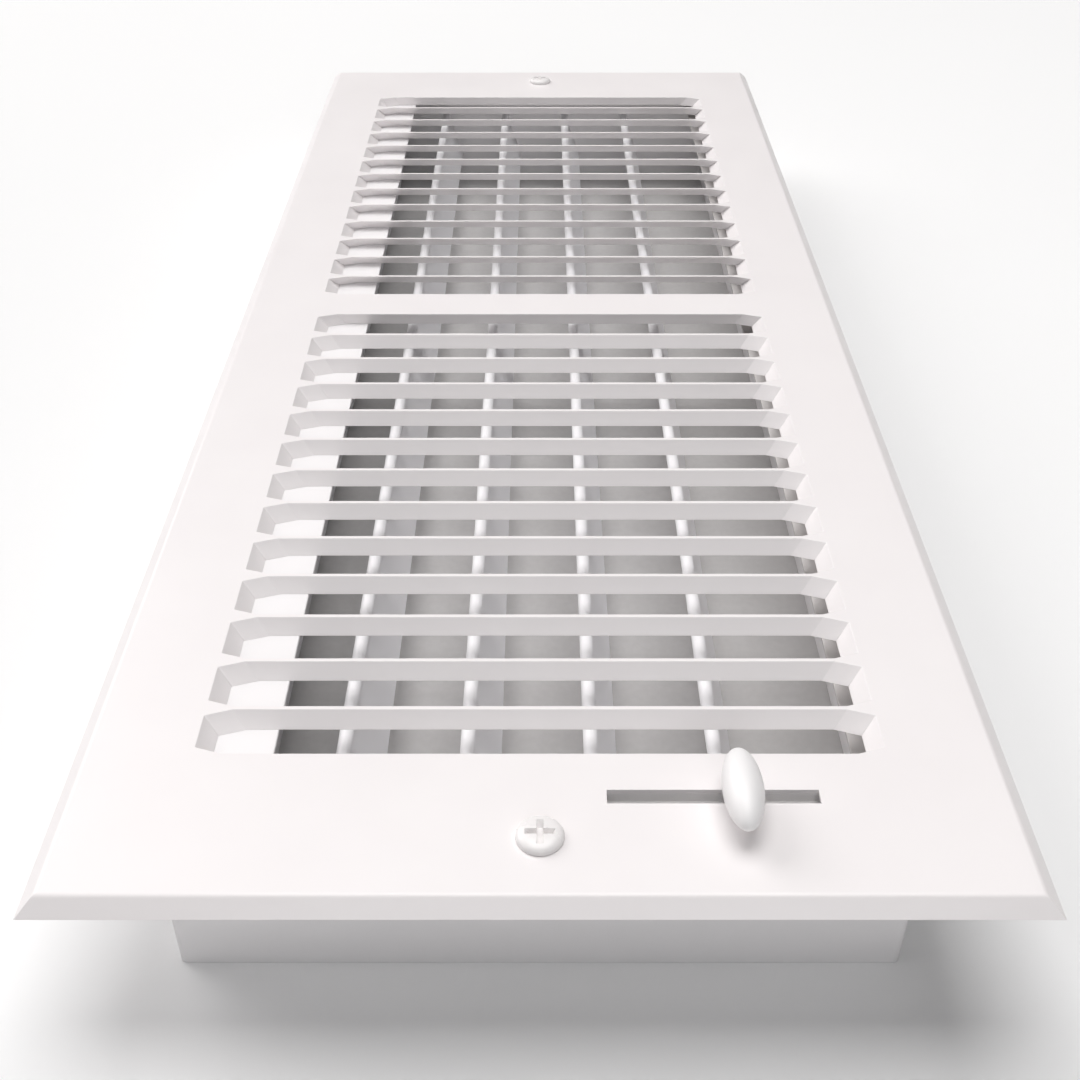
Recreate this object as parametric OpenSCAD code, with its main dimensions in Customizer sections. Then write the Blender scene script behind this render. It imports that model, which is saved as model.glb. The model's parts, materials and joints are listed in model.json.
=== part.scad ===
// Two-way floor register: a stamped louvred face on a sheet metal collar, with a
// multi-blade damper inside that is worked by a small knob in a slot of the face.
// Millimetres, +Z up. The origin is the middle of the collar's lower edge plane.
// X runs across the register, Y along it, and the knob is at the front, minus Y end.

/* [Face] */
// Length of the face along Y
face_l = 340.3; // [336:0.1:350]
// Width of the face along X
face_w = 136; // [132:0.1:142]
// Thickness of the face sheet
face_t = 0.8; // [0.6:0.05:1]
// Horizontal width of the bevelled rim
bevel_w = 2.3; // [1.8:0.05:3]
// How far the rim turns down below the top
bevel_h = 2.2; // [1.8:0.05:2.6]
// Radius of the soft bend between the top and the rim
bevel_r = 1.2; // [0.6:0.05:2]

/* [Louvres] */
// Slots in each of the two fields
slots = 13; // [8:1:15]
// Width of the border between the collar's side and the ends of the slots
slot_inset = 3.8; // [3:0.1:6]
// Distance from the far end of the face to the far field
far_border = 27.15; // [26:0.05:30]
// Distance from the front end of the face to the near field
near_border = 27.65; // [27:0.05:31]
// Width of the plain bar between the two fields
mullion = 10.2; // [9:0.1:14]
// Thickness of one louvre at its top
louvre_t = 0.7; // [0.5:0.05:0.9]
// How far the louvres hang below the top of the face
louvre_drop = 2.45; // [2.2:0.05:3]
// How far the foot of a louvre leans away from the mullion
louvre_lean = 1.9; // [0.8:0.05:2.2]
// How much narrower the first and last slot of a field are than the others
end_trim = 0.9; // [0:0.05:1.2]
// How far the end wall of a slot slopes inward
end_slope = 2.2; // [1:0.05:2.6]
// Length of the flare at each end of a louvre, along X
flare_x = 4; // [2.5:0.1:6]
// Narrowing of a slot by the flare on each side, along Y
flare_y = 1.3; // [0.8:0.05:1.8]

/* [Collar] */
// Height of the collar from its lower edge to the underside of the face
collar_h = 29.5; // [28.5:0.1:36]
// Border of the face outside the collar, along X
side_border = 14.1; // [13:0.1:16]
// Border of the face outside the collar, along Y
end_border = 14.05; // [13.5:0.05:15]
// Thickness of the collar sheet
collar_t = 0.7; // [0.5:0.05:0.8]
// Outer radius of the collar's upright corners
corner_r = 1.2; // [1:0.05:2]
// Width of the flange under the face along the sides
side_flange = 5; // [3:0.1:8]
// Width of the flange under the face along the ends
end_flange = 7.5; // [6:0.1:9]

/* [Damper] */
// Depth of the blade rods below the top of the face
rod_drop = 8.2; // [7.6:0.05:8.8]
// Diameter of the wire that each rod is bent from
rod_d = 1.5; // [1.2:0.05:1.8]
// Distance from the left wall to the first rod
rod_left = 4.3; // [4.2:0.05:5]
// Distance from the last rod to the right wall
rod_right = 26.5; // [26:0.1:28]
// Thickness of the blade sheet
blade_t = 0.4; // [0.3:0.05:0.5]
// Length of the blade from its rod to the bend
blade_upper = 12.9; // [12:0.05:13.6]
// Bend of the lower flange against the upper part, in degrees
blade_bend = 30; // [24:0.5:32]
// How far a closed blade reaches past the next rod
blade_lap = 1.3; // [0.7:0.05:1.9]
// Lean of the blade at rest, in degrees from upright
rest_lean = 20.8; // [19:0.1:24]
// Turn of the blade from rest to closed, in degrees
close_turn = 71; // [66:0.5:71]
// Turn of the blade from rest to open, in degrees
open_turn = 19; // [10:0.5:19]
// Gap between the first blade's front end and the bearing plate
blade_end_gap = 1.8; // [0.5:0.1:2.4]
// Bare length of rod between the blade and the rear wall
bare_rod = 5; // [2:0.1:10]
// Thickness of the bearing plate
bearing_t = 0.8; // [0.6:0.05:1]
// Height of the bearing plate below the face
bearing_h = 12; // [11:0.1:14]
// Depth of the bearing plate's lip behind the lever, below the top of the face
lip_drop = 2.25; // [1.3:0.05:2.6]
// Radial clearance where a rod or pin turns
running_gap = 0.05; // [0.03:0.01:0.08]

/* [Linkage] */
// Radius of the cranks at the front ends of the rods
crank_r = 3.4; // [3.1:0.05:3.6]
// Thickness of the link bar
link_t = 0.8; // [0.6:0.05:1]
// Height of the link bar
link_h = 2.8; // [2.5:0.05:2.9]
// Height of the lever's pivot above the collar's lower edge
pivot_z = 5; // [4:0.1:6]
// Diameter of the lever's pivot
pivot_d = 2.4; // [2:0.1:3]
// Thickness of the lever
lever_t = 0.8; // [0.6:0.05:1]
// Offset of the lever from the middle of its slot toward the front
lever_offset = 0.3; // [0:0.05:0.3]
// Width of the lever where it passes the face
lever_w = 3; // [2:0.1:4]
// Diameter of the drive pin
drive_d = 1.6; // [1.4:0.05:1.8]
// Side play of the drive pin in the lever's slot
drive_gap = 0.45; // [0.4:0.01:0.6]
// Turn of the lever for each degree of the blades
lever_ratio = 0.215; // [0.205:0.001:0.225]

/* [Knob] */
// Length of the knob along Y
knob_l = 14.4; // [12:0.1:16]
// Diameter of the knob across its middle
knob_d = 6; // [5:0.1:7]
// Place of the knob along X at rest
knob_x = 27.6; // [24:0.1:30]
// Height of the knob's middle above the face
knob_rise = 4.5; // [4.2:0.1:5.5]
// Offset of the knob's middle from the lever toward the front
knob_offset = 2.7; // [0:0.1:3]
// Left end of the slot for the lever
lever_slot_left = 9.35; // [5:0.05:15]
// Right end of the slot for the lever
lever_slot_right = 39.1; // [38.5:0.05:42]
// Width of the slot for the lever
lever_slot_w = 2.5; // [2.2:0.05:3.2]
// Distance from the front end of the face to the slot for the lever
lever_slot_border = 19.35; // [19.2:0.05:19.6]

/* [Side strips] */
// Depth of the left shelf below the feet of the louvres
shelf_gap = 0; // [0:0.05:0.6]
// Width of the left shelf
shelf_w = 14.1; // [12:0.1:14.6]
// Width of the right stop strip
stop_w = 6.2; // [5.8:0.05:6.4]
// Depth of the right stop strip below the top of the face
stop_drop = 6.3; // [5:0.1:7]
// How far the leg of the right stop strip stands back from the strip's edge
stop_inset = 2.3; // [0.6:0.1:4]
// Thickness of the two strips
strip_t = 0.7; // [0.5:0.05:0.8]

/* [Screws] */
// Distance from the end of the face to the screw
screw_border = 11.95; // [11.6:0.05:12.1]
// Outer diameter of the screw
screw_d = 3.5; // [3:0.1:3.6]
// Length of the screw below its head
screw_l = 16; // [10:0.5:17]
// Diameter of the screw's head
head_d = 6.7; // [6:0.1:8]
// Height of the screw's head
head_h = 1.9; // [1.5:0.05:2.4]
// Diameter of the screw holes in the face
screw_hole_d = 4.2; // [3.8:0.1:4.6]
// Span of the cross recess
cross_l = 4.3; // [3:0.1:4.6]
// Width of the cross recess
cross_w = 0.95; // [0.7:0.05:1.2]

/* [Hidden] */
$fn = 48;
blades = 5;
// How far a cutting shape reaches past what it cuts
cut = 0.2;
// Gap between fixed pieces that are put in one after the other
assembly_gap = 0.3;
// Play of a rod in the rolled edge of its blade, across its diameter
roll_play = 0.04;

paint = [0.96, 0.945, 0.945];
blade_paint = [0.85, 0.85, 0.86];
steel = [0.72, 0.73, 0.75];

// Face and collar
top_z = collar_h + face_t;
collar_x = face_w / 2 - side_border;
collar_y = face_l / 2 - end_border;
wall_x = collar_x - collar_t;
wall_y = collar_y - collar_t;
screw_y = face_l / 2 - screw_border;

// Slot fields, each from its inner end at the mullion to its outer end
slot_x = collar_x - slot_inset;
fields_l = face_l - far_border - near_border;
field_l = (fields_l - mullion) / 2;
near_start = -face_l / 2 + near_border;
far_end = face_l / 2 - far_border;
slot_w = (field_l + 2 * end_trim - (slots - 1) * louvre_t) / slots;
slot_pitch = slot_w + louvre_t;

// Damper
rod_z = top_z - rod_drop;
rod_pitch = (2 * wall_x - rod_left - rod_right) / (blades - 1);
roll_d = rod_d + 2 * blade_t;
bearing_y = near_start - face_t - assembly_gap;
bearing_front = bearing_y - bearing_t;
blade_front = bearing_y + blade_end_gap;
blade_rear = wall_y - bare_rod;
closed_lean = rest_lean + close_turn;
blade_lower = (rod_pitch + blade_lap - blade_upper * sin(closed_lean))
    / sin(closed_lean - blade_bend);

// Linkage, from the lever back to the rods. The cranks swing evenly to both sides.
crank_lean = -(close_turn - open_turn) / 2;
side_play = 0.3;
lever_slot_y = -face_l / 2 + lever_slot_border;
lever_rear = lever_slot_y - lever_offset + lever_t / 2;
lever_front = lever_slot_y - lever_offset - lever_t / 2;
crank_end = lever_rear + side_play;
link_front = crank_end + side_play;
link_rear = link_front + link_t;
bend_r = rod_d;
bend_y = link_rear + 2 * bend_r + 0.5;
knob_z = top_z + knob_rise;
lever_l = knob_z - pivot_z;
lever_lean = crank_lean * lever_ratio;
pivot_x = knob_x - lever_l * tan(lever_lean);
drive_x = pivot_x + crank_r * sin(crank_lean);
link_z = rod_z - crank_r * cos(crank_lean);
drive_low = rod_z - crank_r - pivot_z;
drive_high = drive_low + crank_r * (1 - cos((close_turn + open_turn) / 2)) + 0.3;
knob_y = lever_slot_y - knob_offset;

// Place of one of the blade rods along X
function rod_x(i) = -wall_x + rod_left + (i - 1) * rod_pitch;

// Outline of a rectangle by its half sizes, anticlockwise
function box_outline(x, y) = [[-x, -y], [x, -y], [x, y], [-x, y]];

// Outline of a slot with flared louvre ends, anticlockwise
function slot_outline(x, y0, y1) = [
    [-x, y0 + flare_y], [-x + flare_x, y0], [x - flare_x, y0], [x, y0 + flare_y],
    [x, y1 - flare_y], [x - flare_x, y1], [-x + flare_x, y1], [-x, y1 - flare_y]];

// Where a side of a slot lies, counted from the outer end of its field. The two sides at
// the ends of the field hang straight, and the louvres between them lean toward that end.
function side_y(k) = k == 0 ? 0 : k == slots ? field_l : k * slot_pitch - louvre_t - end_trim;
function lean_at(k, share) = k == 0 || k == slots ? 0 : louvre_lean * share;

// One slot's outline at a depth below the top, grown by the thickness of its walls
function slot_at(i, depth, grow) = let (share = depth / louvre_drop)
    slot_outline(slot_x - end_slope * share + grow,
        side_y(i) + (i == 0 ? 0 : louvre_t) - lean_at(i, share) - grow,
        side_y(i + 1) - lean_at(i + 1, share) + grow);

// A solid through a pile of outlines with equal numbers of points, from the lowest up
module pile(outlines, heights) {
    n = len(outlines[0]);
    last = len(outlines) - 1;
    points = [for (k = [0 : last]) for (p = outlines[k]) [p[0], p[1], heights[k]]];
    low_face = [for (i = [0 : n - 1]) i];
    high_face = [for (i = [n - 1 : -1 : 0]) last * n + i];
    walls = [for (k = [0 : last - 1]) for (i = [0 : n - 1]) let (j = (i + 1) % n)
        [k * n + i, (k + 1) * n + i, (k + 1) * n + j, k * n + j]];
    polyhedron(points, concat([low_face], walls, [high_face]), convexity = 4);
}

// An outline in X and Z drawn out along Y
module along_y(y0, y1) {
    translate([0, y1, 0]) rotate([90, 0, 0]) linear_extrude(y1 - y0) children();
}

// A round bar along Y
module bar_y(d, y0, y1) {
    along_y(y0, y1) circle(d = d);
}

// A box by its two corners
module block(low, high) {
    translate(low) cube(high - low);
}

// A rectangle with true round corners
module round_box(x, y, r) {
    square([2 * x, 2 * (y - r)], center = true);
    square([2 * (x - r), 2 * y], center = true);
    for (sx = [-1, 1], sy = [-1, 1])
        translate([sx * (x - r), sy * (y - r)]) circle(r = r);
}

// Puts a shape on one of the rods, turned so that what hangs down leans toward plus X
module on_rod(i, lean) {
    translate([rod_x(i), 0, rod_z]) rotate([0, -lean, 0]) children();
}

// Face

// Section of the rim: half sizes of the outside from the rim's lower edge to the flat top
bevel_turn = atan(bevel_h / bevel_w);
bevel_cut = bevel_r * tan(bevel_turn / 2);
bevel_steps = 3;
rim_x = face_w / 2;
rim_y = face_l / 2;

// How far a point of the soft bend lies inside the rim's edge, and how far below the top
function bend_in(a) = bevel_w + bevel_cut - bevel_r * sin(a);
function bend_down(a) = bevel_r * (1 - cos(a));

module face_blank() {
    turns = [for (k = [bevel_steps : -1 : 0]) bevel_turn * k / bevel_steps];
    outlines = [for (a = turns) box_outline(rim_x - bend_in(a), rim_y - bend_in(a))];
    heights = [for (a = turns) top_z - bend_down(a)];
    pile(concat([box_outline(rim_x, rim_y)], outlines), concat([top_z - bevel_h], heights));
}

// The hollow under the blank, parallel to the rim
module face_hollow() {
    side_t = face_t / sin(bevel_turn);
    slope = bevel_w / bevel_h;
    low = side_t - cut * slope;
    high = side_t + (bevel_h - face_t) * slope;
    pile([box_outline(rim_x - low, rim_y - low), box_outline(rim_x - high, rim_y - high)],
        [top_z - bevel_h - cut, top_z - face_t]);
}

// One formed slot. Its walls are a skin of sheet, and the opening is cut after all skins.
module slot_skin(i) {
    pile([slot_at(i, louvre_drop, face_t), slot_at(i, face_t / 2, face_t)],
        [top_z - louvre_drop, top_z - face_t / 2]);
}

module slot_cut(i) {
    pile([slot_at(i, louvre_drop + cut, 0), slot_at(i, -cut, 0)],
        [top_z - louvre_drop - cut, top_z + cut]);
}

// Both fields, each from its outer end, so that the louvres lean away from the mullion
module both_fields() {
    translate([0, near_start, 0]) children();
    translate([0, far_end, 0]) rotate([0, 0, 180]) children();
}

module face_plate() {
    color(paint) difference() {
        union() {
            difference() {
                face_blank();
                face_hollow();
            }
            both_fields() for (i = [0 : slots - 1]) slot_skin(i);
        }
        both_fields() for (i = [0 : slots - 1]) slot_cut(i);
        for (s = [-1, 1])
            translate([0, s * screw_y, collar_h - cut])
                cylinder(d = screw_hole_d, h = face_t + 2 * cut);
        block([lever_slot_left, lever_slot_y - lever_slot_w / 2, collar_h - cut],
            [lever_slot_right, lever_slot_y + lever_slot_w / 2, top_z + cut]);
    }
}

// Collar

module collar_tube() {
    difference() {
        linear_extrude(collar_h) round_box(collar_x, collar_y, corner_r);
        translate([0, 0, -cut]) linear_extrude(collar_h + 2 * cut)
            round_box(wall_x, wall_y, corner_r - collar_t);
    }
}

// The side panels run between the round corners, and the end panels carry the corners
joint_y = collar_y - corner_r;

module collar_side(s) {
    color(paint) union() {
        block([s > 0 ? wall_x : -collar_x, -joint_y, 0], [s > 0 ? collar_x : -wall_x, joint_y, collar_h]);
        block([s > 0 ? collar_x : -collar_x - side_flange, -joint_y, collar_h - collar_t],
            [s > 0 ? collar_x + side_flange : -collar_x, joint_y, collar_h]);
    }
}

module collar_left() {
    collar_side(-1);
}

module collar_right() {
    collar_side(1);
}

module collar_end(s) {
    difference() {
        union() {
            intersection() {
                collar_tube();
                block([-face_w, s > 0 ? joint_y : -face_l, -cut],
                    [face_w, s > 0 ? face_l : -joint_y, face_l]);
            }
            block([-collar_x + corner_r, s > 0 ? wall_y + collar_t / 2 : -collar_y - end_flange,
                collar_h - collar_t], [collar_x - corner_r,
                s > 0 ? collar_y + end_flange : -wall_y - collar_t / 2, collar_h]);
        }
        translate([0, s * screw_y, collar_h - collar_t - cut])
            cylinder(d = screw_d + 2 * running_gap, h = collar_t + 2 * cut);
    }
}

module collar_front() {
    color(paint) collar_end(-1);
}

module collar_rear() {
    color(paint) difference() {
        collar_end(1);
        for (i = [1 : blades])
            translate([rod_x(i), 0, rod_z])
                bar_y(rod_d + 2 * running_gap, wall_y - cut, collar_y + cut);
    }
}

// Side strips

shelf_z = top_z - louvre_drop - shelf_gap;
strip_front = bearing_y + assembly_gap;
strip_rear = wall_y - assembly_gap;
shelf_leg = 3.5;

module side_shelf() {
    color(paint) union() {
        block([-wall_x, strip_front, shelf_z - strip_t], [-wall_x + shelf_w, strip_rear, shelf_z]);
        block([-wall_x, strip_front, shelf_z - shelf_leg], [-wall_x + strip_t, strip_rear, shelf_z]);
    }
}

stop_z = top_z - stop_drop;

// Height of the last blade's tip when the damper is closed
closed_tip_z = rod_z - blade_upper * cos(closed_lean) - blade_lower * cos(closed_lean - blade_bend);

// The strip, its flange on the wall, and a leg that reaches down beside the closed blade
module blade_stop() {
    edge_x = wall_x - stop_w;
    leg_x = edge_x + stop_inset;
    color(paint) union() {
        block([edge_x, strip_front, stop_z - strip_t], [wall_x, strip_rear, stop_z]);
        block([wall_x - strip_t, strip_front, stop_z - strip_t],
            [wall_x, strip_rear, collar_h - collar_t - assembly_gap]);
        block([leg_x, strip_front, closed_tip_z], [leg_x + strip_t, strip_rear, stop_z]);
    }
}

// The plate in front of the blades. Its top flange runs forward to the lever's slot and
// steps down there to a lip, which closes the slot behind the lever.
module bearing_plate() {
    end_x = wall_x - assembly_gap;
    step_y = lever_slot_y + lever_slot_w / 2;
    lip_z = top_z - lip_drop;
    color(paint) difference() {
        union() {
            block([-end_x, bearing_front, collar_h - bearing_h], [end_x, bearing_y, collar_h]);
            block([-end_x, step_y, collar_h - bearing_t], [end_x, bearing_y, collar_h]);
            block([-end_x, step_y, lip_z - bearing_t], [end_x, step_y + bearing_t, collar_h]);
            block([-end_x, lever_rear + side_play, lip_z - bearing_t],
                [end_x, step_y + bearing_t, lip_z]);
        }
        for (i = [1 : blades])
            translate([rod_x(i), 0, rod_z])
                bar_y(rod_d + 2 * running_gap, bearing_front - cut, bearing_y + cut);
    }
}

// Damper blades

module blade_section() {
    difference() {
        union() {
            circle(d = roll_d);
            translate([-blade_t / 2, -blade_upper]) square([blade_t, blade_upper]);
            translate([0, -blade_upper]) circle(d = blade_t);
            translate([0, -blade_upper]) rotate(-blade_bend)
                translate([-blade_t / 2, -blade_lower]) square([blade_t, blade_lower]);
        }
        circle(d = rod_d + roll_play);
    }
}

module blade(i) {
    color(blade_paint) on_rod(i, rest_lean) along_y(blade_front, blade_rear) blade_section();
}

// A quarter of a wire bend in the plane of Y and Z, from a start angle
module wire_bend(y, z, start) {
    translate([0, y, z]) rotate([90, 0, 90]) rotate([0, 0, start])
        rotate_extrude(angle = 90) translate([bend_r, 0]) circle(d = rod_d);
}

// A blade rod, bent at its front end into a crank that works in the link bar
module crank_rod(i) {
    tail = 0.4;
    color(steel) on_rod(i, crank_lean) {
        bar_y(rod_d, bend_y, collar_y + tail);
        wire_bend(bend_y, -bend_r, 90);
        translate([0, bend_y - bend_r, -crank_r + bend_r]) cylinder(d = rod_d, h = crank_r - 2 * bend_r);
        wire_bend(bend_y - 2 * bend_r, -crank_r + bend_r, -90);
        translate([0, 0, -crank_r]) bar_y(rod_d, crank_end, bend_y - 2 * bend_r);
    }
}

// Linkage

module link_bar() {
    left = rod_x(1) + crank_r * sin(crank_lean);
    color(steel) difference() {
        translate([0, 0, link_z]) along_y(link_front, link_rear) {
            translate([left, -link_h / 2]) square([drive_x - left, link_h]);
            translate([left, 0]) circle(d = link_h);
            translate([drive_x, 0]) circle(d = link_h);
        }
        for (i = [1 : blades])
            translate([rod_x(i) + crank_r * sin(crank_lean), 0, link_z])
                bar_y(rod_d + 2 * running_gap, link_front - cut, link_rear + cut);
        translate([drive_x, 0, link_z]) bar_y(drive_d, link_front - cut, link_rear + cut);
    }
}

module drive_pin() {
    head = 0.5;
    color(steel) translate([drive_x, 0, link_z]) {
        bar_y(drive_d - roll_play, lever_front - side_play, link_rear);
        bar_y(drive_d + 2 * drive_gap + 0.6, lever_front - side_play - head, lever_front - side_play);
    }
}

module lever_section() {
    slot_width = drive_d + 2 * drive_gap;
    slot_low = drive_low - 0.2;
    slot_high = drive_high + 0.2;
    wide = slot_width + 3;
    difference() {
        union() {
            circle(d = pivot_d + 3.6);
            translate([-wide / 2, 0]) square([wide, slot_high + 2]);
            translate([-lever_w / 2, 0]) square([lever_w, lever_l]);
        }
        circle(d = pivot_d + 2 * running_gap);
        translate([-slot_width / 2, slot_low]) square([slot_width, slot_high - slot_low]);
        translate([0, slot_low]) circle(d = slot_width);
        translate([0, slot_high]) circle(d = slot_width);
    }
}

module on_lever() {
    translate([pivot_x, 0, pivot_z]) rotate([0, lever_lean, 0]) children();
}

module lever() {
    color(steel) on_lever() along_y(lever_front, lever_rear) lever_section();
}

// The stud on the inside of the front wall that the lever turns on
module lever_stud() {
    shoulder = pivot_d + 1.6;
    play = 0.2;
    head = 0.6;
    color(steel) translate([pivot_x, 0, pivot_z]) {
        bar_y(shoulder, -wall_y, lever_front - play);
        bar_y(pivot_d, lever_front - play, lever_rear + play);
        bar_y(shoulder, lever_rear + play, lever_rear + play + head);
    }
}

// An egg shaped knob, turned about its long axis, with a socket for the lever's end
module knob_body() {
    steps = 24;
    outline = [for (k = [0 : steps]) let (a = 180 * k / steps)
        [knob_d / 2 * sin(a), -knob_l / 2 * cos(a)]];
    rotate([90, 0, 0]) rotate_extrude() polygon(outline);
}

module knob() {
    seat = 0.03;
    color(paint) on_lever() difference() {
        translate([0, knob_y, lever_l / cos(lever_lean)]) knob_body();
        block([-lever_w / 2 - seat, lever_front - seat, 0],
            [lever_w / 2 + seat, lever_rear + seat, lever_l + seat]);
    }
}

// Screws

// A cross recessed screw with a domed head, standing on the face
module screw() {
    tip = 4;
    crown = (head_d * head_d / 4 + head_h * head_h) / (2 * head_h);
    recess = 1.3;
    difference() {
        union() {
            intersection() {
                translate([0, 0, head_h - crown]) sphere(r = crown);
                cylinder(d = head_d, h = head_h + cut);
            }
            translate([0, 0, -screw_l + tip]) cylinder(d = screw_d, h = screw_l - tip);
            translate([0, 0, -screw_l]) cylinder(d1 = 0.4, d2 = screw_d, h = tip);
        }
        for (turn = [0, 90])
            rotate([0, 0, turn]) translate([0, 0, head_h - recess / 2 + cut])
                cube([cross_l, cross_w, recess + 2 * cut], center = true);
    }
}

module screw_front() {
    color(paint) translate([0, -screw_y, top_z]) screw();
}

module screw_rear() {
    color(paint) translate([0, screw_y, top_z]) screw();
}

face_plate();
collar_left();
collar_right();
collar_front();
collar_rear();
side_shelf();
blade_stop();
bearing_plate();
blade(1);  // blade_1
blade(2);  // blade_2
blade(3);  // blade_3
blade(4);  // blade_4
blade(5);  // blade_5
crank_rod(1);  // crank_rod_1
crank_rod(2);  // crank_rod_2
crank_rod(3);  // crank_rod_3
crank_rod(4);  // crank_rod_4
crank_rod(5);  // crank_rod_5
link_bar();
drive_pin();
lever();
knob();
lever_stud();
screw_front();
screw_rear();
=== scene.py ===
import json
import math

import bmesh
import bpy
from mathutils import Matrix, Vector


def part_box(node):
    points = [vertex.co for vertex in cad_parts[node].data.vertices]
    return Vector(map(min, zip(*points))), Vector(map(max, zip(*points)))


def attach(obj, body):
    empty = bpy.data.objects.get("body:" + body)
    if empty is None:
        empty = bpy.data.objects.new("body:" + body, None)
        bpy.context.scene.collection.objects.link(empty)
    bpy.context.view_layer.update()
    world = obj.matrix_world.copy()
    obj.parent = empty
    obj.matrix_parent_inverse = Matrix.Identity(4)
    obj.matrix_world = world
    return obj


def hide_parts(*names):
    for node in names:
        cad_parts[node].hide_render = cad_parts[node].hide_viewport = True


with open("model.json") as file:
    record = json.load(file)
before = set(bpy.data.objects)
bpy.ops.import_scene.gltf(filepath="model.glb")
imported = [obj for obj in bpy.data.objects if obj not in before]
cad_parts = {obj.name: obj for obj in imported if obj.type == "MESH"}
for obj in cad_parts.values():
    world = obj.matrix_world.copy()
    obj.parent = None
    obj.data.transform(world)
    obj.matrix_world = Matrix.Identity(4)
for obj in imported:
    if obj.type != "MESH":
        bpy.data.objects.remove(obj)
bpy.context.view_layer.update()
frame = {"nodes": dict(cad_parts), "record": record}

MM = 0.001
scene = bpy.context.scene
scene.view_settings.view_transform = "Standard"

# The face's highest corner, in millimetres
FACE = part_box("face_plate")[1] / MM
# Half sizes of the space between the collar's walls
DUCT_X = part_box("blade_stop")[1].x
DUCT_Y = -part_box("lever_stud")[0].y

body_of = {}
for body, members in frame["record"]["behaviour"]["bodies"].items():
    for member in members:
        body_of[member] = body


# Camera, at the photograph's viewing angle
CAMERA_PLACE = (0, -0.2808, 0.1711)
CAMERA_TILT = 53.47
CAMERA_LENS = 45
CAMERA_SENSOR = 36
CAMERA_NEAR = 0.01

camera = bpy.data.objects.new("camera", bpy.data.cameras.new("camera"))
camera.data.lens = CAMERA_LENS
camera.data.sensor_width = CAMERA_SENSOR
camera.data.clip_start = CAMERA_NEAR
camera.location = CAMERA_PLACE
camera.rotation_euler = (math.radians(CAMERA_TILT), 0, 0)
scene.collection.objects.link(camera)
scene.camera = camera


# Material nodes

# The span in which most values of a noise lie
NOISE_LOW = 0.3
NOISE_HIGH = 0.7
# Input and output sockets of the colour mix
MIX_SHARE = 0
MIX_FIRST = 6
MIX_SECOND = 7
MIX_RESULT = 2


class Graph:
    """The node tree of a material or world, with short calls for the nodes used here."""

    def __init__(self, owner):
        owner.use_nodes = True
        self.owner = owner
        self.tree = owner.node_tree
        self.tree.nodes.clear()

    def node(self, kind, inputs=None, **settings):
        """A node whose inputs are linked to sockets or set to values."""
        made = self.tree.nodes.new(kind)
        for key, value in settings.items():
            setattr(made, key, value)
        for key, value in (inputs or {}).items():
            if isinstance(value, bpy.types.NodeSocket):
                self.tree.links.new(value, made.inputs[key])
            else:
                made.inputs[key].default_value = value
        return made

    def place(self):
        """The place on the piece, in metres."""
        return self.node("ShaderNodeTexCoord").outputs["Object"]

    def noise(self, where, scale, detail, roughness=0.5):
        """A cloudy pattern with scale cells to the metre."""
        made = self.node("ShaderNodeTexNoise", {
            "Vector": where, "Scale": scale, "Detail": detail, "Roughness": roughness})
        return made.outputs["Fac"]

    def spread(self, value, low, high, start=NOISE_LOW, stop=NOISE_HIGH):
        """Goes from low to high while the value goes from start to stop."""
        made = self.node("ShaderNodeMapRange", {
            "Value": value, "From Min": start, "From Max": stop, "To Min": low, "To Max": high})
        return made.outputs["Result"]

    def mix(self, share, first, second):
        """The first colour where the share is 0, and the second where it is 1."""
        made = self.node("ShaderNodeMix", {
            MIX_SHARE: share, MIX_FIRST: first, MIX_SECOND: second}, data_type="RGBA")
        return made.outputs[MIX_RESULT]

    def drift(self, noise, colours):
        """Drifts between two colours with a noise."""
        first, second = colours
        return self.mix(self.spread(noise, 0.0, 1.0), (*first, 1), (*second, 1))

    def bump(self, height, strength, depth):
        made = self.node("ShaderNodeBump", {
            "Strength": strength, "Distance": depth, "Height": height})
        return made.outputs["Normal"]

    def calculate(self, operation, *values):
        made = self.node("ShaderNodeMath", dict(enumerate(values)), operation=operation)
        return made.outputs[0]

    def ray_share(self, *kinds):
        """1 for rays of these kinds, and 0 for all others."""
        path = self.node("ShaderNodeLightPath").outputs
        share = path[kinds[0]]
        for kind in kinds[1:]:
            share = self.calculate("MAXIMUM", share, path[kind])
        return share

    def finish(self, shader, output="ShaderNodeOutputMaterial"):
        self.node(output, {"Surface": shader})
        return self.owner


# Enamel, plastic and plated steel

PEEL_DEPTH = 0.12 * MM
ENAMEL_IOR = 1.5
ZINC = ((0.62, 0.63, 0.65), (0.50, 0.51, 0.54))
ZINC_ROUGH = (0.28, 0.46)
ZINC_LINE_DEPTH = 0.04 * MM
ZINC_LINE_STRETCH = (1.0, 0.06, 1.0)


def enamel(name, colours, rough, peel):
    """Stoved enamel: a faint change of tint, uneven gloss and a fine orange peel."""
    g = Graph(bpy.data.materials.new(name))
    where = g.place()
    shader = g.node("ShaderNodeBsdfPrincipled", {
        "Base Color": g.drift(g.noise(where, scale=38.0, detail=4.0), colours),
        "Roughness": g.spread(g.noise(where, scale=120.0, detail=5.0, roughness=0.6), *rough),
        "Normal": g.bump(g.noise(where, scale=620.0, detail=2.0), strength=peel, depth=PEEL_DEPTH),
        "IOR": ENAMEL_IOR})
    return g.finish(shader.outputs["BSDF"])


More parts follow.
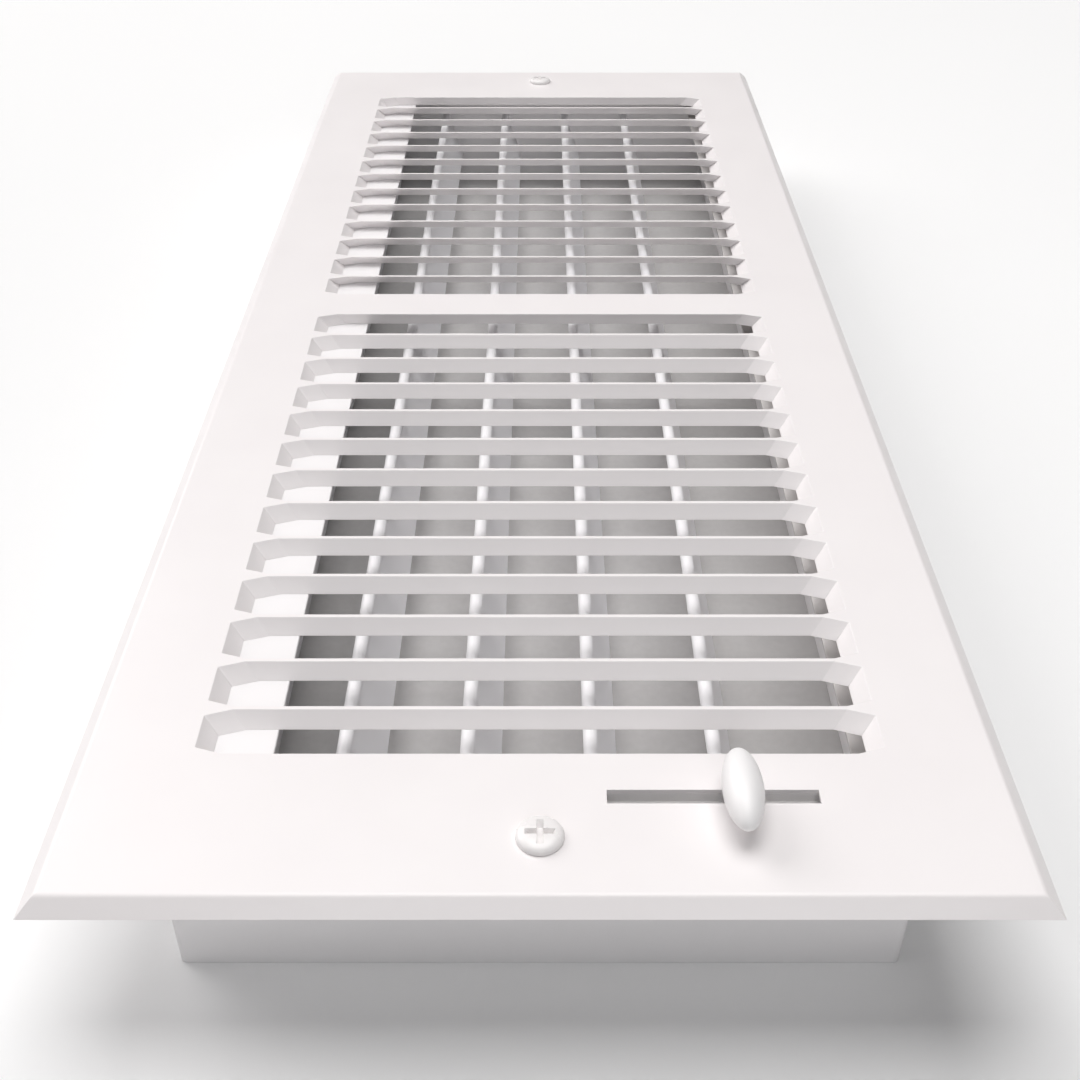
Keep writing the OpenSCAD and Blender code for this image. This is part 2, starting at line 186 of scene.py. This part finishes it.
def plated(name):
    """Zinc plated steel: drawn lines along Y, dull spots and a slight blue tint."""
    g = Graph(bpy.data.materials.new(name))
    where = g.place()
    drawn = g.node("ShaderNodeMapping", {"Vector": where, "Scale": ZINC_LINE_STRETCH})
    lines = g.noise(drawn.outputs["Vector"], scale=2600.0, detail=3.0)
    spots = g.noise(where, scale=260.0, detail=4.0, roughness=0.6)
    shader = g.node("ShaderNodeBsdfPrincipled", {
        "Base Color": g.drift(spots, ZINC),
        "Roughness": g.spread(spots, *ZINC_ROUGH),
        "Normal": g.bump(lines, strength=0.25, depth=ZINC_LINE_DEPTH),
        "Metallic": 1.0})
    return g.finish(shader.outputs["BSDF"])


PAINTS = {
    "face_paint": enamel("face_enamel", ((0.935, 0.905, 0.905), (0.915, 0.882, 0.884)),
                         rough=(0.30, 0.40), peel=0.10),
    "collar_paint": enamel("collar_enamel", ((0.93, 0.915, 0.92), (0.915, 0.90, 0.905)),
                           rough=(0.36, 0.46), peel=0.04),
    "blade_paint": enamel("blade_enamel", ((0.915, 0.91, 0.925), (0.90, 0.895, 0.91)),
                          rough=(0.46, 0.56), peel=0.02),
    "knob_paint": enamel("knob_plastic", ((0.96, 0.95, 0.95), (0.94, 0.93, 0.93)),
                         rough=(0.34, 0.42), peel=0.02),
    "screw_paint": enamel("screw_enamel", ((0.93, 0.91, 0.905), (0.90, 0.88, 0.875)),
                          rough=(0.24, 0.32), peel=0.05),
    "zinc_steel": plated("zinc_steel_plate"),
}
# Whiter copy of the collar enamel for the bearing plate: painted light that brightens the recess
# under the lever slot
painted_light_lip_paint = enamel("lip_enamel_painted_light", ((0.965, 0.95, 0.945), (0.95, 0.935, 0.93)),
                   rough=(0.4, 0.5), peel=0.02)
# Greyer copy of the collar enamel for the stop strip: painted shade deep inside the collar
painted_shade_stop_paint = enamel("stop_enamel_painted_shade", ((0.66, 0.635, 0.625), (0.63, 0.61, 0.60)),
                    rough=(0.5, 0.6), peel=0.02)

for node in frame["nodes"].values():
    for holder in node.material_slots:
        holder.material = PAINTS[holder.material.name.split(".")[0]]


# The floor's material

# Pairs of colours: as the camera and gloss show the floor, as it lights the object, and the painted
# shade inside the collar
FLOOR_SEEN = ((0.96, 0.965, 0.965), (0.945, 0.95, 0.95))
FLOOR_LIT = ((0.84, 0.84, 0.84), (0.82, 0.82, 0.82))
DUCT_PAINTED_SHADE = ((0.63, 0.62, 0.615), (0.60, 0.59, 0.585))
FLOOR_ROUGH = 0.3
FLOOR_GRAIN_DEPTH = 0.1 * MM
# Where the painted shade on the floor inside the collar ends, outside the space between the walls and
# under their sheet
PAINTED_SHADE_FADE_START = 0.1 * MM
PAINTED_SHADE_FADE_STOP = 0.6 * MM
# Distances from the origin over which the floor fades to white
FADE_START = 0.4
FADE_STOP = 1.1


def painted_shade_mask(g, where):
    """The mask of the painted shade: 1 on the floor between the collar's walls, 0 outside, with a
    soft step under the wall.
    """
    sides = g.node("ShaderNodeSeparateXYZ", {"Vector": where}).outputs
    shares = []
    for side, reach in ((sides["X"], DUCT_X), (sides["Y"], DUCT_Y)):
        out = g.calculate("ABSOLUTE", side)
        shares.append(g.spread(out, 1.0, 0.0, reach + PAINTED_SHADE_FADE_START, reach + PAINTED_SHADE_FADE_STOP))
    return g.calculate("MULTIPLY", *shares)


def floor_paper(name):
    """A matt white floor. Seen by the camera or in gloss it shows as a white background,
    and it keeps the shadow of what stands on it. Inside the collar a darker colour is painted on:
    painted shade for the enclosed space. Away from the object it fades to plain white, so that no
    horizon shows."""
    g = Graph(bpy.data.materials.new(name))
    where = g.place()
    seen = g.ray_share("Is Camera Ray", "Is Glossy Ray", "Is Transmission Ray")
    cloud = g.noise(where, scale=3.0, detail=4.0)
    open_floor = g.mix(seen, g.drift(cloud, FLOOR_LIT), g.drift(cloud, FLOOR_SEEN))
    # Darker colour between the collar's walls: painted shade
    duct_painted_shade = g.drift(g.noise(where, scale=700.0, detail=3.0), DUCT_PAINTED_SHADE)
    grain = g.noise(where, scale=900.0, detail=3.0)
    matt = g.node("ShaderNodeBsdfDiffuse", {
        "Color": g.mix(painted_shade_mask(g, where), open_floor, duct_painted_shade),
        "Roughness": FLOOR_ROUGH,
        "Normal": g.bump(grain, strength=0.05, depth=FLOOR_GRAIN_DEPTH)})
    distance = g.node("ShaderNodeVectorMath", {0: where}, operation="LENGTH").outputs["Value"]
    faded = g.calculate("MULTIPLY", seen, g.spread(distance, 0.0, 1.0, FADE_START, FADE_STOP))
    white = g.node("ShaderNodeEmission", {"Color": (1, 1, 1, 1), "Strength": 1.0})
    both = g.node("ShaderNodeMixShader", {0: faded, 1: matt.outputs[0], 2: white.outputs[0]})
    return g.finish(both.outputs[0])


# Mesh tools

def mesh_from(bm, name):
    """A mesh made of bm, which is freed."""
    mesh = bpy.data.meshes.new(name)
    bm.to_mesh(mesh)
    bm.free()
    return mesh


def smooth(mesh):
    for face in mesh.polygons:
        face.use_smooth = True


def new_object(name, mesh, material):
    made = bpy.data.objects.new(name, mesh)
    mesh.materials.clear()
    mesh.materials.append(material)
    scene.collection.objects.link(made)
    return made


def mark_edges(bm, chosen):
    """Marks the edges for which chosen(edge) is true for the bevel."""
    weight = bm.edges.layers.float.new("bevel_weight_edge")
    for edge in bm.edges:
        if chosen(edge):
            edge[weight] = 1.0


def bevel_marked(piece, width):
    """Rounds the marked edges of a piece."""
    bevel = piece.modifiers.new("edges", "BEVEL")
    bevel.width = width
    bevel.segments = 2
    bevel.limit_method = "WEIGHT"


def apply_modifiers(piece):
    bpy.context.view_layer.update()
    seen = piece.evaluated_get(bpy.context.evaluated_depsgraph_get())
    mesh = bpy.data.meshes.new_from_object(seen)
    piece.modifiers.clear()
    piece.data = mesh


def stand_for(piece, node):
    """The piece takes a CAD node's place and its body."""
    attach(piece, body_of[node])
    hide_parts(node)


# Pressed sheet pieces, with sizes in millimetres and angles in degrees

WELD = 0.002
FLAT_ANGLE = 0.5
EDGE_ANGLE = 24
FACE_EDGE_ANGLE = 10
FACE_EDGE_R = 0.11
COLLAR_EDGE_R = 0.2
BLADE_EDGE_R = 0.1
THIN_EDGE_R = 0.06
# The soft bend around the face's flat top: its reach inside the outline and below the top
BEND_OUTER = 0.3
BEND_INNER = 4.5
BEND_DROP = 1.9
STRAIGHT = 0.01


def soft_sheet(node, slot, radius, angle=EDGE_ANGLE, rolled=None, paint=None):
    """A pressed piece with the CAD outline, whose edges are rounded by its paint and tools.
    Edges for which rolled(start, end) is true belong to a soft bend and are only smoothed."""
    def chosen(edge):
        if rolled and rolled(edge.verts[0].co / MM, edge.verts[1].co / MM):
            return False
        return edge.calc_face_angle(0) > math.radians(angle)

    bm = bmesh.new()
    bm.from_mesh(frame["nodes"][node].data)
    bmesh.ops.remove_doubles(bm, verts=bm.verts, dist=WELD * MM)
    bmesh.ops.dissolve_limit(bm, angle_limit=math.radians(FLAT_ANGLE), verts=bm.verts, edges=bm.edges)
    mark_edges(bm, chosen)
    piece = new_object(node + "_soft", mesh_from(bm, node + "_soft"), paint or PAINTS[slot])
    bevel_marked(piece, radius * MM)
    smooth(piece.data)
    weigh = piece.modifiers.new("normals", "WEIGHTED_NORMAL")
    weigh.keep_sharp = True
    weigh.weight = 100
    apply_modifiers(piece)
    stand_for(piece, node)


def rim_bend(start, end):
    """True for an edge along the soft bend between the face's flat top and its rim."""
    middle = (start + end) / 2
    inside = min(FACE.x - abs(middle.x), FACE.y - abs(middle.y))
    along = min(abs(start.x - end.x), abs(start.y - end.y)) < STRAIGHT
    return along and BEND_OUTER < inside < BEND_INNER and middle.z > FACE.z - BEND_DROP


soft_sheet("face_plate", "face_paint", FACE_EDGE_R, angle=FACE_EDGE_ANGLE, rolled=rim_bend)
for name in ("collar_left", "collar_right", "side_shelf"):
    soft_sheet(name, "collar_paint", COLLAR_EDGE_R)
# The stop strip wears the greyer copy of the collar enamel: painted shade
soft_sheet("blade_stop", "collar_paint", THIN_EDGE_R, paint=painted_shade_stop_paint)
# The bearing plate wears the whiter copy of the collar enamel: painted light in the lever slot's
# recess
soft_sheet("bearing_plate", "collar_paint", THIN_EDGE_R, paint=painted_light_lip_paint)
for name in ("collar_front", "collar_rear"):
    soft_sheet(name, "collar_paint", THIN_EDGE_R)
for name in frame["nodes"]:
    if name.startswith("blade_") and name != "blade_stop":
        soft_sheet(name, "blade_paint", BLADE_EDGE_R)


# Turned shapes, made of rings of points

def turns(steps):
    return [2 * math.pi * k / steps for k in range(steps)]


def around(angle, radius, height):
    return (radius * math.cos(angle), radius * math.sin(angle), height)


def ring(radius, height, steps):
    return [around(angle, radius, height) for angle in turns(steps)]


def skin(name, rings):
    """A closed mesh over rings of points, whose first and last ring are single points."""
    bm = bmesh.new()
    made = [[bm.verts.new(point) for point in points] for points in rings]
    for low, high in zip(made, made[1:]):
        for k in range(max(len(low), len(high))):
            corners = [low[k % len(low)], low[(k + 1) % len(low)],
                       high[(k + 1) % len(high)], high[k % len(high)]]
            bm.faces.new(list(dict.fromkeys(corners)))
    bmesh.ops.recalc_face_normals(bm, faces=bm.faces)
    return mesh_from(bm, name)


# Knob

KNOB_R = 2.85
KNOB_RINGS = 64
KNOB_STEPS = 72


def egg_knob():
    """The knob, an egg whose long axis lies along Y."""
    low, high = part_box("knob")
    half_l = (high.y - low.y) / 2
    rings = [[(0, 0, -half_l)]]
    for k in range(1, KNOB_RINGS):
        slope = math.pi * k / KNOB_RINGS
        rings.append(ring(KNOB_R * MM * math.sin(slope), -half_l * math.cos(slope), KNOB_STEPS))
    rings.append([(0, 0, half_l)])
    mesh = skin("knob_egg", rings)
    mesh.transform(Matrix.Translation((low + high) / 2) @ Matrix.Rotation(math.radians(90), 4, "X"))
    smooth(mesh)
    knob = new_object("knob_egg", mesh, PAINTS["knob_paint"])
    stand_for(knob, "knob")


egg_knob()

# Rods and linkage keep their CAD shape, shaded smooth except at their edges
ROD_EDGE_ANGLE = 30
for name, node in frame["nodes"].items():
    if name.startswith(("crank_rod", "drive_pin", "lever", "link_bar")):
        smooth(node.data)
        node.data.set_sharp_from_angle(angle=math.radians(ROD_EDGE_ANGLE))


# Screws, in millimetres above the face

SCREW_STEPS = 48
RING_STEP = 0.1
PITCH = 1.3
THREAD_D = 3.5
CORE_D = 2.4
# Half of the thread's ridge, as a share of the pitch
RIDGE_SHARE = 0.24
# Plain length under the head
PLAIN_L = 1.0
TIP_L = 4.0
HEAD_D = 6.7
HEAD_H = 1.35
HEAD_LIP = 0.14
HEAD_RINGS = 20
# Power of the sine and cosine in the head's outline, below 1 for a fuller dome
HEAD_POWER = 2 / 3
RECESS_L = 4.4
RECESS_W = 0.95
RECESS_H = 1.2
# Size of the recess at its bottom, as shares of its length and width at the top
RECESS_FOOT_L = 0.7
RECESS_FOOT_W = 0.9
# Height by which the cutter stands above the head
CUTTER_OVER = 0.1
HEAD_EDGE_R = 0.09
HEAD_EDGE_ANGLE = 35
# Height above which the head's edges are rounded
HEAD_EDGE_LOWEST = 0.3
SCREW_SHARP_ANGLE = 40


def screw_radius(height, angle, length):
    """Radius of the threaded shank at a height below the head."""
    phase = (height / PITCH + angle / (2 * math.pi)) % 1
    ridge = max(0.0, 1 - abs(phase - 0.5) / RIDGE_SHARE)
    taper = min(1.0, (height + length) / TIP_L)
    run_out = min(1.0, max(0.0, (-height - PLAIN_L) / PITCH))
    return taper * (CORE_D / 2 + ridge * run_out * (THREAD_D - CORE_D) / 2)


def screw_rings(length):
    """Rings of points from the tip up over the head."""
    rings = [[(0, 0, -length)]]
    count = round(length / RING_STEP)
    for k in range(1, count + 1):
        height = -length + length * k / count
        rings.append([around(angle, screw_radius(height, angle, length), height)
                      for angle in turns(SCREW_STEPS)])
    rings.append(ring(HEAD_D / 2 - HEAD_LIP, 0, SCREW_STEPS))
    for k in range(HEAD_RINGS):
        slope = math.pi / 2 * k / HEAD_RINGS
        radius = HEAD_D / 2 * math.cos(slope) ** HEAD_POWER
        height = HEAD_LIP + (HEAD_H - HEAD_LIP) * math.sin(slope) ** HEAD_POWER
        rings.append(ring(radius, height, SCREW_STEPS))
    rings.append([(0, 0, HEAD_H)])
    return rings


def recess_cutter(turn):
    """One arm of the cross recess, whose sides and ends narrow toward the bottom."""
    bm = bmesh.new()
    bmesh.ops.create_cube(bm, size=1)
    for corner in bm.verts:
        deep = corner.co.z < 0
        corner.co.x *= RECESS_L * (RECESS_FOOT_L if deep else 1.0)
        corner.co.y *= RECESS_W * (RECESS_FOOT_W if deep else 1.0)
        corner.co.z = HEAD_H - RECESS_H if deep else HEAD_H + CUTTER_OVER
    bm.transform(Matrix.Rotation(turn, 4, "Z"))
    return new_object("recess_cutter", mesh_from(bm, "recess_cutter"), PAINTS["screw_paint"])


def cut_recess(piece):
    """Cuts the cross recess out of a screw's head."""
    cutters = [recess_cutter(0), recess_cutter(math.pi / 2)]
    for cutter in cutters:
        cut = piece.modifiers.new("recess", "BOOLEAN")
        cut.operation = "DIFFERENCE"
        cut.solver = "EXACT"
        cut.object = cutter
    apply_modifiers(piece)
    for cutter in cutters:
        bpy.data.objects.remove(cutter)


def head_edge(edge):
    """True for a sharp edge of the head, those of the recess among them."""
    middle = (edge.verts[0].co + edge.verts[1].co) / 2
    return middle.z > HEAD_EDGE_LOWEST and edge.calc_face_angle(0) > math.radians(HEAD_EDGE_ANGLE)


def cross_screw(node):
    """A cross recessed screw with a domed head and a thread, seated on the face."""
    low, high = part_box(node)
    mesh = skin(node, screw_rings(FACE.z - low.z / MM))
    piece = new_object(node + "_threaded", mesh, PAINTS["screw_paint"])
    cut_recess(piece)
    bm = bmesh.new()
    bm.from_mesh(piece.data)
    mark_edges(bm, head_edge)
    bm.to_mesh(piece.data)
    bm.free()
    bevel_marked(piece, HEAD_EDGE_R)
    apply_modifiers(piece)
    smooth(piece.data)
    piece.data.set_sharp_from_angle(angle=math.radians(SCREW_SHARP_ANGLE))
    centre = (low + high) / 2
    piece.data.transform(Matrix.Translation((centre.x, centre.y, FACE.z * MM))
                         @ Matrix.Scale(MM, 4))
    stand_for(piece, node)


for name in ("screw_front", "screw_rear"):
    cross_screw(name)


# Floor, a hair below the object so that the two don't share a plane
FLOOR_HALF = 4.0
FLOOR_PARTS = 8
FLOOR_DROP = 0.03 * MM
bm = bmesh.new()
bmesh.ops.create_grid(bm, x_segments=FLOOR_PARTS, y_segments=FLOOR_PARTS, size=FLOOR_HALF)
floor = new_object("floor", mesh_from(bm, "floor"), floor_paper("floor_white"))
floor.location.z = -FLOOR_DROP


# Light

WORLD_LEVEL = 0.05


def area_lamp(name, place, target, size, power, colour):
    """A square lamp at a place, aimed at a target."""
    data = bpy.data.lights.new(name, "AREA")
    data.size = size
    data.energy = power
    data.color = colour
    lamp = bpy.data.objects.new(name, data)
    lamp.location = place
    aim = Vector(target) - Vector(place)
    lamp.rotation_euler = aim.to_track_quat("-Z", "Y").to_euler()
    scene.collection.objects.link(lamp)


def studio_world():
    """A world that shows as white and lights the object a little."""
    g = Graph(bpy.data.worlds.new("studio"))
    seen = g.ray_share("Is Camera Ray", "Is Transmission Ray")
    level = g.spread(seen, WORLD_LEVEL, 1.0, start=0.0, stop=1.0)
    back = g.node("ShaderNodeBackground", {"Color": (1, 1, 1, 1), "Strength": level})
    return g.finish(back.outputs[0], "ShaderNodeOutputWorld")


area_lamp("key", place=(-1.5, 1.2, 1.4), target=(0, -0.06, 0.02), size=1.6, power=30.0,
          colour=(1.0, 0.975, 0.97))
area_lamp("top", place=(0.0, 0.2, 1.8), target=(0, 0.0, 0.02), size=1.3, power=24.5,
          colour=(1.0, 0.985, 0.98))
area_lamp("front", place=(0.1, -1.5, 0.8), target=(0, -0.1, 0.02), size=0.9, power=5.4,
          colour=(0.98, 0.985, 1.0))
scene.world = studio_world()
